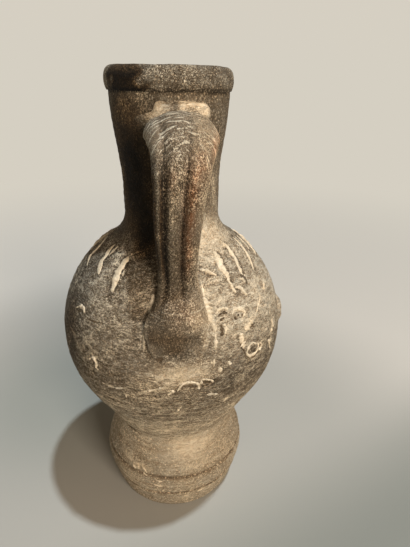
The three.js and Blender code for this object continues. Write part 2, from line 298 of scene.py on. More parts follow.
# Shape of the whole pot, in mm; the pieces below share it, so that they meet at their joints
pot = dict(
    baseRadius=35.5, baseChamfer=1.2, footRadius=41, footBulgeHeight=22.5, footTaper=1.35,
    waistHeight=50.5, waistRadius=34, waistBore=27,
    bellyRadius=57, bellyHeight=107, bellyWall=6,
    neckRadius=22.5, neckNarrowHeight=180, neckTopRadius=26.3, neckWall=5, shoulderFillet=15,
    rimSeatHeight=220.5,
)
waistRadius, waistHeight = pot["waistRadius"], pot["waistHeight"]
bellyRadius, bellyHeight = pot["bellyRadius"], pot["bellyHeight"]
rimSeatHeight = pot["rimSeatHeight"]
filletRadius = pot["neckRadius"] + pot["shoulderFillet"]
filletRise = sqrt((bellyRadius + pot["shoulderFillet"]) ** 2 - filletRadius ** 2)
filletHeight = bellyHeight + filletRise
seamAngle = atan2(filletRise, filletRadius)
seamHeight = bellyHeight + bellyRadius * sin(seamAngle)
neckBore = pot["neckRadius"] - pot["neckWall"]


def touchAngle(fromRadius, fromHeight, circleRadius):
    drop = fromHeight - bellyHeight
    return atan2(drop, fromRadius) + acos(circleRadius / hypot(fromRadius, drop))


bellyTouch = touchAngle(waistRadius, waistHeight, bellyRadius)


def footRadiusAt(height):
    if height < pot["footBulgeHeight"]:
        share = (pot["footBulgeHeight"] - height) / pot["footBulgeHeight"]
        return pot["footRadius"] - (pot["footRadius"] - pot["baseRadius"]) * share ** pot["footTaper"]
    share = (height - pot["footBulgeHeight"]) / (waistHeight - pot["footBulgeHeight"])
    return waistRadius + (pot["footRadius"] - waistRadius) * (1 + cos(pi * share)) / 2


def neckRadiusAt(height):
    if height < pot["neckNarrowHeight"]:
        return pot["neckRadius"]
    share = (height - pot["neckNarrowHeight"]) / (rimSeatHeight - pot["neckNarrowHeight"])
    return pot["neckRadius"] + (pot["neckTopRadius"] - pot["neckRadius"]) * (1 - cos(pi * share)) / 2


def potRadiusAt(height):
    if height < waistHeight:
        return footRadiusAt(height)
    touchHeight = bellyHeight + bellyRadius * sin(bellyTouch)
    if height < touchHeight:
        share = (height - waistHeight) / (touchHeight - waistHeight)
        return waistRadius + (bellyRadius * cos(bellyTouch) - waistRadius) * share
    if height < seamHeight:
        return sqrt(max(0, bellyRadius ** 2 - (height - bellyHeight) ** 2))
    if height < filletHeight:
        return filletRadius - sqrt(max(0, pot["shoulderFillet"] ** 2 - (height - filletHeight) ** 2))
    return neckRadiusAt(min(height, rimSeatHeight))


def potSlopeAt(height):
    # outward direction (radial, upward) of the pot's side
    rise = 0.2
    run = potRadiusAt(height + rise) - potRadiusAt(height - rise)
    length = hypot(run, 2 * rise)
    return 2 * rise / length, -run / length


# A point on the pot's side from its turn (degrees from the handle towards +X) and height, in mm
def onPot(turn, height, out=0):
    outward, upward = potSlopeAt(height)
    radius = potRadiusAt(height) + out * outward
    angle = radians(turn)
    return Vector((radius * sin(angle), -radius * cos(angle), height + out * upward))


# How the weather and the potter's hands left the surface: depths and sizes in mm
weather = dict(
    layers=((0.34, 36), (0.13, 2.4)), dent=0.18, dentMm=10,
    ringDepth=0.11, ringMm=3.3, wander=1.6, wanderMm=24, smoothFrom=88, smoothTo=118,
    crustDepth=0.3, crustMm=4, spotTurn=14, spotHeight=12, spotMm=1.7,
)

# Chips, pits and blobs: turn and height of the middle, size in mm, depth in mm, paler, and painted shade in
# the hollow
spots = [
    (11, 105.3, 3.6, 1.5, -0.6, 0, 0.7), (-39, 139.3, 1.2, 1.5, -0.5, 0, 0.8),
    (-43, 104.6, 1.3, 2.0, -0.5, 0, 0.6), (3.0, 104.6, 3.8, 1.0, -0.4, -0.06, 0.35),
    (-15, 104, 4.2, 0.9, -0.3, 0, 0.4), (-13, 99, 3, 1.1, -0.3, 0, 0.4),
    (17, 111, 7, 4, -0.1, -0.06, 0), (-33, 31.6, 6, 2.6, 0.3, 0.22, 0),
    (-45, 33.5, 4, 2.4, 0.25, 0.2, 0), (-47.5, 49.4, 5, 0.7, -0.4, 0, 0.7), (-2, 88, 4, 4, 0.1, 0.1, 0),
    (36, 113.6, 2.2, 2.2, -0.3, 0, 0.3), (150, 120, 3, 1.4, -0.5, 0, 0.8),
    (-140, 96, 1.8, 1.4, 0.4, 0.3, 0), (118, 88, 2.4, 1.2, -0.5, 0, 0.7),
    (-115, 132, 1.6, 1.8, 0.4, 0.3, 0), (172, 70, 3, 1.2, -0.4, 0, 0.7),
    (128, 132, 1.4, 3, 0.4, 0.25, 0), (-165, 138, 2.4, 1.0, -0.4, 0, 0.7),
    (98, 104, 1.2, 2.2, -0.4, 0, 0.7), (-100, 84, 1.6, 1.2, 0.4, 0.25, 0),
]

# Tone and warmth of the pot's skin from the foot up, then soft marks on it:
# turn and height of the middle, their spreads (degrees, mm), and how much; a few tone marks are painted
# shade
toneUp = [
    (0, 0.46), (15, 0.50), (30, 0.52), (45, 0.54), (56, 0.54), (68, 0.51), (85, 0.33), (102, 0.26),
    (115, 0.295), (150, 0.29), (160, 0.21), (172, 0.15), (190, 0.12), (212, 0.17), (221, 0.21),
]
paint = dict(
    tone=[
        (36, 159, 26, 8, 0.68), (45, 135, 30, 17, 0.42), (18, 146, 9, 10, 0.25),
        (22, 127, 13, 11, 0.17), (74, 136, 14, 20, 0.22), (-1, 110.5, 12, 5.5, 0.56),
        # painted shade under the pressed pad (-2, 122), over the clay's own dark there, and down the body's
        # left side, away from the light (-62, 122 and -85, 115), over darker clay
        (-2, 122, 11, 6, -0.22), (-62, 122, 14, 22, -0.15), (-85, 115, 20, 45, -0.1),
        # painted shadow of the strap on the left shoulder (-29, 160); the neck's left side (-50, 190) is
        # soot and painted shade
        (-29, 160, 14, 12, -0.16), (-50, 190, 30, 50, -0.13), (54, 180, 26, 22, 0.12),
        (-58, 35, 22, 20, -0.04), (8, 44, 20, 9, 0.44), (26, 102, 16, 7, -0.09),
        (-48, 143, 14, 12, 0.16), (-31, 130, 12, 9, 0.04), (15, 219, 25, 4, 0.06),
        (0, 88, 40, 10, 0.03), (30, 20, 20, 10, -0.03), (150, 140, 35, 25, 0.12),
        (-140, 110, 30, 30, -0.05), (180, 60, 40, 20, 0.05), (110, 110, 25, 30, 0.06),
        (-165, 150, 25, 14, 0.1), (180, 200, 50, 25, 0.03),
    ],
    warm=[
        (-60, 142, 24, 18, -0.6), (-62, 122, 14, 12, -0.3), (40, 148, 26, 14, -0.4),
        (74, 136, 14, 20, -0.6), (40, 130, 26, 12, -0.4), (-160, 140, 30, 16, -0.5),
        (130, 120, 20, 20, -0.3),
    ],
    curl=[
        (44, 150, 28, 8, 0.8), (34, 116, 20, 13, 1.0), (60, 126, 16, 18, 0.8), (-66, 124, 12, 12, 0.5),
        (20, 146, 10, 8, 0.8), (-40, 104, 14, 8, 0.5), (150, 132, 26, 16, 0.7),
        (-150, 118, 20, 14, 0.6), (-33, 32, 16, 6, 0.7), (0, 88, 24, 6, 0.4), (60, 104, 20, 10, 0.5),
    ],
    calm=[
        (-1, 110.5, 14, 6, 0.8), (8, 44, 20, 9, 0.6),
    ],
)


def paintAt(kind, turn, height):
    amount = 0
    for middle, level, turnSpread, heightSpread, share in paint[kind]:
        away = (turn - middle + 180) % 360 - 180
        if abs(away) < 2.4 * turnSpread and abs(height - level) < 2.4 * heightSpread:
            amount += share * near(away, 0, turnSpread) * near(height, level, heightSpread)
    return amount


def along(rows, value):
    for before, after in zip(rows, rows[1:]):
        if value <= after[0]:
            share = max(0, (value - before[0]) / (after[0] - before[0]))
            return before[1] + (after[1] - before[1]) * share
    return rows[-1][1]


# Slip trailed down the shoulder by hand: width in mm, tone, then turn and height of each point along it
# the last two sizes set the painted shadow below and left of each stroke
slip = dict(proud=0.6, sink=0.6, ragged=0.5, segments=16, rings=56, shadowDark=0.65, shadowReach=4)
slipStrokes = [
    (1.5, 0.5, -87.7, 154.6, -81.4, 152.1, -79, 149.8, -79.7, 147.6, -76.8, 146, -72.5, 144.1),
    (2.7, 0.66, -63, 155.2, -62.3, 152.9, -60.6, 150.6, -59.3, 148.5, -56.8, 146.3, -54.2, 144.9),
    (0.9, 0.42, -57.3, 155.2, -57, 153.5, -57.8, 151.5), (0.8, 0.4, -36.2, 149.3, -35.7, 147.2),
    (3.4, 0.72, -38.7, 153.4, -39.5, 151.4, -39.7, 149.1, -39.7, 146.8, -39, 144.2, -38.5, 141.2),
    (3.9, 0.75, 34.8, 154.6, 33.2, 152.4, 32.3, 150.1, 32.6, 148.1, 32.1, 144.6),
    (1.7, 0.72, 32, 145.6, 32.1, 142.2, 33.4, 139.8), (1.1, 0.62, 49.8, 157, 47.3, 154.4),
    (2.4, 0.75, 51.4, 156, 51, 154.5, 49.3, 152.7, 48.3, 150.7, 46.8, 148.7, 45, 146.6, 44.2, 144.4),
    (1.8, 0.75, 73.3, 155.1, 70, 152.9, 66.6, 150.5, 63.4, 147.9, 60.8, 145.8, 57.8, 143.2),
    (1.3, 0.68, 91.5, 152.6, 88.2, 149.6, 83, 147, 78.4, 144.6), (1.0, 0.6, 83, 154, 78, 151, 74, 148.6),
    (1.7, 0.72, 15.2, 150.5, 19.2, 149.8, 22.4, 148.7, 25.7, 147.7),
    (1.7, 0.7, 34.1, 141.8, 37.2, 141.1, 38.8, 139, 40.7, 137.5),
    (2.0, 0.66, 100, 154.5, 99, 149, 97, 143), (1.5, 0.6, 118, 154, 119, 149.5, 121, 145),
    (2.4, 0.68, 137, 154.5, 138, 149, 139, 143.5), (1.3, 0.6, 155, 153.5, 156, 149, 158, 146),
    (2.6, 0.68, 174, 154.5, 174, 149, 173, 142.5), (1.4, 0.6, -168, 154, -169, 150, -171, 145.5),
    (2.5, 0.66, -150, 154.5, -149, 149, -147, 143), (1.3, 0.58, -131, 154, -129, 150, -126, 146),
    (2.2, 0.62, -112, 154.5, -110, 149, -107, 143.5), (1.2, 0.5, -98, 154.5, -95, 151, -91, 147),
]

# Skin that lifted and curled, crusts, and dark strokes beside them, drawn the same way; the dark strokes are
# partly cracks and partly painted shadow of the lifted skin
crust = dict(proud=0.5, crackAndShadowProud=0.1, sink=0.5, ragged=1.1, segments=12, rings=44)
crustStrokes = [
    (1.2, 0.7, -2.3, 102.2, -1.1, 104.8, 0.6, 106.7, 3, 107.2, 5.4, 106.8, 7.4, 105.5, 8.2, 104),
    (1.0, 0.7, 7, 105.8, 7.3, 104, 7.7, 102.4), (0.9, 0.66, 8.3, 105.2, 8.3, 107.6),
    (1.6, 0.7, -6.4, 100.3, -4.8, 102, -3.6, 103.4), (0.8, 0.05, -0.2, 104.2, 3, 105.7, 6, 105),
    (1.0, 0.62, 8.4, 107.9, 12, 106.8, 14.3, 105), (1.6, 0.05, 8.8, 106.6, 11, 105.8, 13.4, 104.6),
    (1.8, 0.5, 11.2, 98.3, 14, 97.9, 16.7, 96.9), (1.1, 0.55, 20.9, 89.1, 22.9, 91.6),
    (1.0, 0.5, 25.8, 81, 26.8, 84), (1.0, 0.5, -18, 101.5, -12.5, 103.4, -7, 105.4),
    (0.8, 0.48, -38.5, 100.5, -34, 100.4, -29, 101, -24.4, 102.5), (0.9, 0.5, -25.7, 98.5, -25.5, 95.7),
    (1.0, 0.45, -4.1, 87.2, -2, 90, 0.1, 93.1), (0.9, 0.45, -2.4, 84.1, 1.3, 88.5),
    (2.6, 0.75, 12.7, 115.2, 14.9, 115), (1.9, 0.72, 16.1, 110.7, 18.4, 110.4),
    (1.2, 0.72, 17.3, 112, 17.4, 109.2), (1.5, 0.7, 21.2, 113.6, 22.4, 111.4),
    (1.2, 0.7, 51, 134.8, 48.3, 132.5, 44.5, 130.3, 41.7, 128.5), (1.3, 0.66, 60.6, 137.3, 56.4, 134.6),
    (1.2, 0.72, 13.7, 147, 13.5, 142.6, 13.4, 139.4, 13.6, 136), (0.9, 0.68, 15.3, 144.8, 15.1, 142.8),
    (2.8, 0.7, 14, 141, 14.2, 135.8, 15.2, 130.5), (1.9, 0.6, 15.6, 133, 16, 127, 15.4, 121),
    (1.3, 0.66, 18.2, 134.3, 20.2, 136.1, 24.1, 135.8, 25.3, 134.6),
    (1.0, 0.06, 19, 133.8, 22, 134.4, 24.6, 133.8), (1.0, 0.08, 19.4, 131.8, 22, 132.4),
    (1.5, 0.7, 26.6, 132.6, 29.1, 134.4, 32.4, 133.7, 34.3, 132, 32.4, 129.8),
    (1.1, 0.06, 27.7, 131.6, 28.6, 130.2), (1.2, 0.06, 30.2, 132.1, 31, 130.2),
    (1.0, 0.06, 32.6, 131.8, 33.2, 130.4), (1.5, 0.62, 21.2, 130.4, 21.6, 127.8, 20.6, 125),
    (1.5, 0.07, 19.9, 130.4, 19.7, 127.9, 19, 125.5), (2.8, 0.64, 38.9, 127.5, 35.8, 126.1, 32.4, 124.5),
    (2.8, 0.66, 29.8, 124.3, 29.3, 120.8, 31, 117.2), (0.9, 0.06, 28, 121, 29, 117.6, 30.6, 115, 31, 111),
    (1.2, 0.06, 39.6, 125.6, 36, 124.2),
    (1.3, 0.66, 39.3, 115.2, 36.2, 117.3, 33, 116.2, 32, 113.7, 34.1, 111.4, 38.2, 111.4, 40.2, 113.7,
     39.3, 115.6), (1.0, 0.07, 35, 115.5, 35.4, 114), (0.8, 0.07, 32.4, 111.2, 36.3, 109.8, 40, 111.2),
    (1.0, 0.62, 41.3, 115.2, 43, 113.2, 41, 111.9, 39.6, 113.3, 41.1, 115.4),
    (1.1, 0.07, 41.8, 114, 41, 113), (1.9, 0.62, 55.4, 120.6, 56.3, 117, 53, 114.6),
    (1.5, 0.6, 49.3, 112.8, 51, 109, 53.1, 105),
    (1.0, 0.1, 39.8, 145.2, 43.4, 144.7, 45.2, 142.4, 42, 140.2),
    (1.2, 0.7, 40, 144, 42.6, 143.3, 43, 142),
    (0.7, 0.05, -52.4, 128.8, -48.3, 128.4, -42.6, 128.7, -37.4, 129.5),
    (0.8, 0.06, -59.4, 128.4, -54.6, 129.4),
    (1.3, 0.6, -61.2, 128.9, -57.1, 131, -54.2, 131, -52.4, 129.4),
    (1.3, 0.6, -45.4, 109.9, -42.4, 112.4, -40.3, 110.3, -40.7, 108.1, -38.8, 107.2),
    (1.5, 0.05, -42.2, 111.2, -42, 109.2), (1.7, 0.62, -14, 143.2, -14, 140.8, -14.5, 139, -15.6, 137),
    (1.3, 0.45, -16.9, 131, -16.4, 126.8, -16.4, 121.5), (0.9, 0.05, -52.6, 50, -46, 49.3, -40.2, 49.5),
    (1.3, 0.6, 120, 130, 124, 133, 129, 131, 128, 127), (1.0, 0.06, 122, 130, 127, 130),
    (1.5, 0.6, 165, 112, 171, 115, 177, 112), (0.8, 0.06, 167, 111, 175, 110.6),
    (1.3, 0.72, -36, 33, -34, 30.5), (1.1, 0.7, -32, 32.5, -29, 31, -27, 29),
    (1.4, 0.72, -40, 31, -37, 29), (1.0, 0.7, -30, 28.6, -26, 27.4), (0.9, 0.66, -20, 26, -14, 25.4),
    (0.8, 0.7, -24, 23, -18, 22, -12, 22.4), (0.9, 0.62, 2, 11, 8, 10.4), (0.9, 0.6, 14, 12.4, 21, 13),
    (0.9, 0.62, 50, 29.2, 57, 29.8), (0.8, 0.05, -150, 126, -143, 125, -136, 127),
    (1.4, 0.6, -120, 108, -115, 111, -110, 109),
]


def strokePoint(line, share):
    points = list(zip(line[::2], line[1::2]))
    place = share * (len(points) - 1)
    k = min(len(points) - 2, int(place))
    t = place - k
    a, b = Vector(points[k]), Vector(points[k + 1])
    before = Vector(points[k - 1]) if k > 0 else a - (b - a)
    after = Vector(points[k + 2]) if k + 2 < len(points) else b + (b - a)
    return 0.5 * (2 * a + (b - before) * t + (2 * before - 5 * a + 4 * b - after) * t * t
                  + (3 * a - before - 3 * b + after) * t ** 3)


strokeSamples = 40
strokeWidths = []
strokeTree = kdtree.KDTree(len(slipStrokes) * (strokeSamples + 1))
for slipWidth, _, *slipLine in slipStrokes:
    for sampleShare in spread(0, 1, strokeSamples):
        strokeTree.insert(onPot(*strokePoint(slipLine, sampleShare)), len(strokeWidths))
        strokeWidths.append(slipWidth * sqrt(max(0.05, 1 - (2 * sampleShare - 1) ** 2)))
strokeTree.balance()


def strokeShadow(at):
    # painted shadow: the clay is darker just below and left of a raised stroke
    spot, index, away = strokeTree.find(at)
    if away > slip["shadowReach"]:
        return 0
    around = spot.x * at.y - spot.y * at.x
    below = smooth(-0.3, 0.8, (spot.z - at.z) / max(away, 0.1) + (0.5 if around > 0 else -0.2))
    return slip["shadowDark"] * max(0.3, below) * near(away, strokeWidths[index] / 2 + 0.5, 0.75)


def weathered(point):
    # relief in mm, how much paler, and how much painted shade
    turn, height = turnOf(point), point.z
    relief = uneven(point, weather["layers"])
    relief += weather["dent"] * noise(point / weather["dentMm"] + Vector((7, 3, 1)))
    ringShare = 1 - 0.65 * smooth(weather["smoothFrom"], weather["smoothTo"], height)
    wander = weather["wander"] * noise(point / weather["wanderMm"])
    relief += weather["ringDepth"] * ringShare * sin(2 * pi * (height + wander) / weather["ringMm"])
    crusted = min(1, max(0, paintAt("curl", turn, height)))
    relief += weather["crustDepth"] * crusted * noise(point / weather["crustMm"])
    pale, paintedShade = 0.0, 0.0
    for spotTurn, spotHeight, across, tall, depth, paler, deep in spots:
        away, rise = turn - spotTurn, height - spotHeight
        if abs(away) > weather["spotTurn"] or abs(rise) > weather["spotHeight"]:
            continue
        side = radians(away) * hypot(point.x, point.y)
        ragged = 1 + 0.5 * noise(point / weather["spotMm"])
        inside = exp(-(((side / across) ** 2 + (rise / tall) ** 2) * ragged) ** 1.5)
        relief += depth * inside
        pale += paler * inside
        paintedShade = max(paintedShade, deep * inside)
    # painted shadow below and left of the slip strokes
    if 95 < height < 160:
        paintedShade = max(paintedShade, strokeShadow(point))
    return relief, pale, paintedShade


def turnOf(point):
    return degrees(atan2(point.x, -point.y))


def setMark(piece, name, values):
    attribute = piece.data.attributes.new(name, "FLOAT", "POINT")
    attribute.data.foreach_set("value", values)


def readMark(piece, name):
    values = [0.0] * len(piece.data.vertices)
    piece.data.attributes[name].data.foreach_get("value", values)
    return values


def markRow(tone, warm=0.7, rust=0.0, curl=0.0, paintedShade=0.0, arc=0.0, calm=0.0):
    return dict(tone=max(0.015, tone), warm=warm, rust=rust, curl=curl, paintedShade=paintedShade, arc=arc, calm=calm)


def toneAt(point):
    return along(toneUp, point.z) + paintAt("tone", turnOf(point), point.z)


def markPlace(point, pale=0.0, paintedShade=0.0):
    warm, curl, calm = (paintAt(kind, turnOf(point), point.z) for kind in ("warm", "curl", "calm"))
    return markRow(toneAt(point) + pale, 0.75 + warm, 0.0, curl, paintedShade, 0.0, calm)


def setMarks(piece, rows):
    for kind in rows[0]:
        setMark(piece, kind, [row[kind] for row in rows])


# Moves a turned piece's outside as the weather says; the inner wall stays plain
def weatherTurned(piece, outerLimit, grooves=()):
    rows = []
    for vertex in piece.data.vertices:
        point = inMm(vertex)
        radius = hypot(point.x, point.y)
        if radius > outerLimit(point.z):
            relief, pale, paintedShade = weathered(point)
            # painted shade in the turned grooves, uneven along them
            worn = 0.35 + 0.5 * noise(point / 13)
            paintedShade = max([paintedShade] + [worn * near(point.z, groove, 0.9) for groove in grooves])
            outward, upward = potSlopeAt(point.z)
            away = Vector((outward * point.x / radius, outward * point.y / radius, upward))
            vertex.co += away * relief * mm
            rows.append(markPlace(point, pale, paintedShade))
        else:
            rows.append(markRow(0.16 if point.z > 1 else 0.36))
    setMarks(piece, rows)
    piece.data.update()


def dress(piece, node, slotName, material):
    piece.data.materials.clear()
    piece.data.materials.append(material)
    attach(piece, "root")
    if node:
        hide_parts(node)
    print("made", piece.name, len(piece.data.polygons), "faces")
    return piece


# Foot: a hollow drum with two turned grooves, thrown by itself
foot = dict(floor=9, wall=7, corner=6, grooves=(14.5, 27.5), grooveWidth=0.9, grooveDepth=1.2, sides=352)


def footOutline():
    outer = []
    for height in spread(pot["baseChamfer"], waistHeight, 96):
        cut = sum(near(height, groove, foot["grooveWidth"]) for groove in foot["grooves"])
        outer.append((footRadiusAt(height) - foot["grooveDepth"] * cut, height))
    low = foot["floor"] + foot["corner"]
    wide = footRadiusAt(low) - foot["wall"]
    inner = []
    for height in spread(waistHeight, low, 10):
        ease = (1 - cos(pi * (waistHeight - height) / (waistHeight - low))) / 2
        inner.append((pot["waistBore"] + (wide - pot["waistBore"]) * ease, height))
    corner = arc(wide - foot["corner"], low, foot["corner"], 0, -pi / 2, 5)
    bottom = [(0, 0), (12, 0), (24, 0), (pot["baseRadius"] - pot["baseChamfer"], 0)]
    return bottom + outer + inner + corner[1:] + [(14, foot["floor"]), (0, foot["floor"])]


footPiece = turned("foot_turned", footOutline(), foot["sides"])
# the foot's two grooves get painted shade
weatherTurned(footPiece, lambda height: footRadiusAt(height) - 3 if height > 0.2 else 99, foot["grooves"])

# Body: a globe open at the waist and at the shoulder
body = dict(mouthLip=1.5, sides=440)


def bodyOutline():
    start = (waistRadius, waistHeight)
    touch = (bellyRadius * cos(bellyTouch), bellyHeight + bellyRadius * sin(bellyTouch))
    cone = [(start[0] + (touch[0] - start[0]) * s, start[1] + (touch[1] - start[1]) * s)
            for s in spread(0, 1, 42)]
    globe = arc(0, bellyHeight, bellyRadius, bellyTouch, seamAngle, 118)
    innerRadius = bellyRadius - pot["bellyWall"]
    ledge = seamHeight - body["mouthLip"]
    topAngle = min(acos(neckBore / innerRadius), asin(min(1, (ledge - bellyHeight) / innerRadius)))
    innerTouch = touchAngle(pot["waistBore"], waistHeight, innerRadius)
    dome = arc(0, bellyHeight, innerRadius, topAngle, innerTouch, 20)
    lip = [(neckBore, seamHeight), (neckBore, ledge)]
    return cone + globe[1:] + lip + dome + [(pot["waistBore"], waistHeight), cone[0]]


bodyPiece = turned("body_thrown", bodyOutline(), body["sides"])
weatherTurned(bodyPiece, lambda height: potRadiusAt(height) - 2.5)

# Neck: flared, with a soft fillet on to the shoulder
neck = dict(sides=288)


def neckOutline():
    fillet = arc(filletRadius, filletHeight, pot["shoulderFillet"], pi + seamAngle, pi, 24)
    flare = [(neckRadiusAt(h), h) for h in spread(filletHeight, rimSeatHeight, 72)]
    inner = [(neckRadiusAt(h) - pot["neckWall"], h) for h in spread(rimSeatHeight, 178, 12)]
    return fillet + flare[1:] + inner + [(neckBore, seamHeight), fillet[0]]


neckPiece = turned("neck_thrown", neckOutline(), neck["sides"])
# the neck gets painted shade just under the rim's seat
weatherTurned(neckPiece, lambda height: potRadiusAt(height) - 2.5, (rimSeatHeight - 0.1,))

# Rim: a rolled band with a crisp undercut, painted shade in a patch on its left and under the roll, and a
# painted highlight on its left end
rim = dict(
    height=9.5, radius=27.9, width=7.8, roundness=2.3, rollShare=0.58, sides=320, steps=44,
    layers=((0.22, 9), (0.12, 3)), inset=0.05, most=0.08, tone=0.21, patchShade=0.22,
)
rimMiddle = rim["radius"] - rim["width"] / 2
rimHalf = rim["height"] * rim["rollShare"]
rimLevel = rimSeatHeight + rim["height"] - rimHalf


def rimOutline():
    power = 2 / rim["roundness"]
    seat = -asin(((rimLevel - rimSeatHeight) / rimHalf) ** (1 / power))
    points = []
    for angle in spread(seat, pi - seat, rim["steps"]):
        across = abs(cos(angle)) ** power * (1 if cos(angle) > 0 else -1)
        up = abs(sin(angle)) ** power * (1 if sin(angle) > 0 else -1)
        points.append((rimMiddle + rim["width"] / 2 * across, rimLevel + rimHalf * up))
    return points + [points[0]]


rimPiece = turned("rim_roll", rimOutline(), rim["sides"])


def weatherRim():
    rows = []
    for vertex in rimPiece.data.vertices:
        point = inMm(vertex)
        radius, turn = hypot(point.x, point.y), turnOf(point)
        across, up = radius - rimMiddle, point.z - rimLevel
        reach = hypot(across, up)
        away = Vector((across / reach * point.x / radius, across / reach * point.y / radius, up / reach))
        seated = smooth(rimSeatHeight, rimSeatHeight + 0.8, point.z)
        relief = min(uneven(point, rim["layers"]) - rim["inset"], rim["most"])
        vertex.co += away * relief * seated * mm
        # painted shade: a darker patch on the rim's left, away from the light, a little weaker on its top
        wander = turn + 14 * noise(point / 4.5)
        shadedPatch = smooth(-66, -58, wander) * (1 - smooth(-36, -16, wander))
        shadedPatch *= 1 - 0.35 * smooth(225, 229, point.z)
        tone = rim["tone"] - rim["patchShade"] * shadedPatch - 0.06 * (1 - smooth(20.5, 22.5, radius))
        # painted highlight on the rim's left end
        tone += 0.24 * (1 - smooth(-84, -66, turn))
        # painted shade on the roll's underside, over the undercut
        undercutShade = 0.5 * (1 - smooth(221, 222, point.z)) * smooth(24, 26, radius)
        rows.append(markRow(tone, 0.35, 0.0, 0.0, undercutShade))
    setMarks(rimPiece, rows)


weatherRim()

# Handle: one pulled strap with three ribs; its lower end is pressed flat on the shoulder
handle = dict(
    rootHeight=203, rise=5, reach=48, reachHeight=184, crestCurve=17, landingCurve=13,
    landingAngle=37, endAngle=10, lean=2.7, leanHeight=167,
    rootWidth=28.5, rootCrown=9.5, strapWidth=18, strapCrown=5.5, back=4, backFullness=3,
    landingWidth=16.6, padWidth=26.5, padCrown=5.2, sway=1,
    grooveSides=(-0.62, 0.17), grooveDepth=2.6, grooveSpread=0.13,
    rings=88, outerPoints=38, innerPoints=14, buried=3.2,
)


def bezier(points, steps):
    line = []
    for t in spread(0, 1, steps):
        weights = ((1 - t) ** 3, 3 * t * (1 - t) ** 2, 3 * t * t * (1 - t), t ** 3)
        line.append(tuple(sum(w * p[k] for w, p in zip(weights, points)) for k in (0, 1)))
    return line


def handleLine():
    # (distance out, height) from the pad's end to the root, and where its three stretches end
    landing = radians(handle["landingAngle"])
    pad = arc(0, bellyHeight, bellyRadius, radians(handle["endAngle"]), landing, 60)
    start, far = pad[-1], (handle["reach"], handle["reachHeight"])
    curve = handle["landingCurve"]
    leave = (start[0] - sin(landing) * curve, start[1] + cos(landing) * curve)
    rise = bezier([start, leave, (far[0], far[1] + (start[1] - far[1]) / 2), far], 100)
    root = handle["rootHeight"]
    over = ((far[0] + neckRadiusAt(root)) / 2, root + handle["rise"])
    crest = bezier([far, (far[0], far[1] + handle["crestCurve"]), over, (neckBore, root)], 100)
    return pad + rise[1:] + crest[1:], (60, 160, 260)


def leanAt(height):
    return (height - handle["leanHeight"]) * tan(radians(handle["lean"]))


def handleStations():
    wide, strap, landing, top = (handle[kind + "Width"] for kind in ("pad", "strap", "landing", "root"))
    padCrown, crown, topCrown = (handle[kind + "Crown"] for kind in ("pad", "strap", "root"))
    # place, width, crown, shares of the grooves' depth and of the sway, fullness, softness of the edge
    rows = [
        (0, wide * 0.5, padCrown * -0.12, 0, 0, 2, 1.1), (0.14, wide * 0.74, padCrown * 0.06, 0, 0, 2, 1.1),
        (0.3, wide * 0.9, padCrown * 0.36, 0, 0, 2, 1.1),
        (0.46, wide * 0.98, padCrown * 0.7, 0, 0, 2.2, 1.1),
        (0.6, wide, padCrown * 0.92, 0, 0, 2.4, 1.0), (0.74, wide * 0.97, padCrown, 0.15, 0.3, 2.6, 0.85),
        (0.97, wide * 0.78, padCrown, 0.45, 1, 2.8, 0.6), (1.18, landing, crown, 0.8, 0.7, 3, 0.5),
        (1.4, landing, crown, 1, 0, 3, 0.5), (1.7, strap, crown, 1, -0.6, 3, 0.5),
        (2, strap * 1.08, crown * 1.12, 1, -0.5, 2.8, 0.5),
        (2.2, strap * 1.2, crown * 1.3, 0.9, 0, 2.6, 0.5),
        (2.4, top * 0.86, topCrown * 0.88, 0.6, 0.8, 2.4, 0.5),
        (2.55, top * 0.97, topCrown * 0.97, 0.4, 1, 2.2, 0.5),
        (2.7, top, topCrown, 0.2, 0.6, 2.1, 0.5), (3, top, topCrown, 0, 0, 2, 0.5),
    ]
    return [(place, width, height, cut * handle["grooveDepth"], fullness, softness, shift * handle["sway"])
            for place, width, height, cut, shift, fullness, softness in rows]


def through(stations, share):
    # an even curve through the stations' sizes
    last = len(stations) - 1
    k = max(i for i in range(last) if stations[i][0] <= share or i == 0)
    a, b = stations[k], stations[k + 1]
    before, after = stations[max(0, k - 1)], stations[min(last, k + 2)]
    span = b[0] - a[0]
    t = (share - a[0]) / span
    sizes = []
    for n in range(1, len(a)):
        slopeA = (b[n] - before[n]) / (b[0] - before[0]) * span
        slopeB = (after[n] - a[n]) / (after[0] - a[0]) * span
        sizes.append(a[n] * (1 + 2 * t) * (1 - t) ** 2 + slopeA * t * (1 - t) ** 2
                     + b[n] * t * t * (3 - 2 * t) + slopeB * t * t * (t - 1))
    return sizes


def strapSection(width, crown, groove, fullness, softness):
    points = []
    for i in range(handle["outerPoints"] + 1):
        side = -cos(pi * i / handle["outerPoints"])
        cut = max(near(side, place, handle["grooveSpread"]) for place in handle["grooveSides"])
        dome = max(0, 1 - abs(side) ** fullness) ** softness
        points.append((side, width / 2 * side, dome * (crown - groove * cut)))
    for i in range(1, handle["innerPoints"]):
        side = cos(pi * i / handle["innerPoints"])
        under = handle["back"] * sqrt(max(0, 1 - abs(side) ** handle["backFullness"]))
        points.append((side, width / 2 * side, -under))
    return points


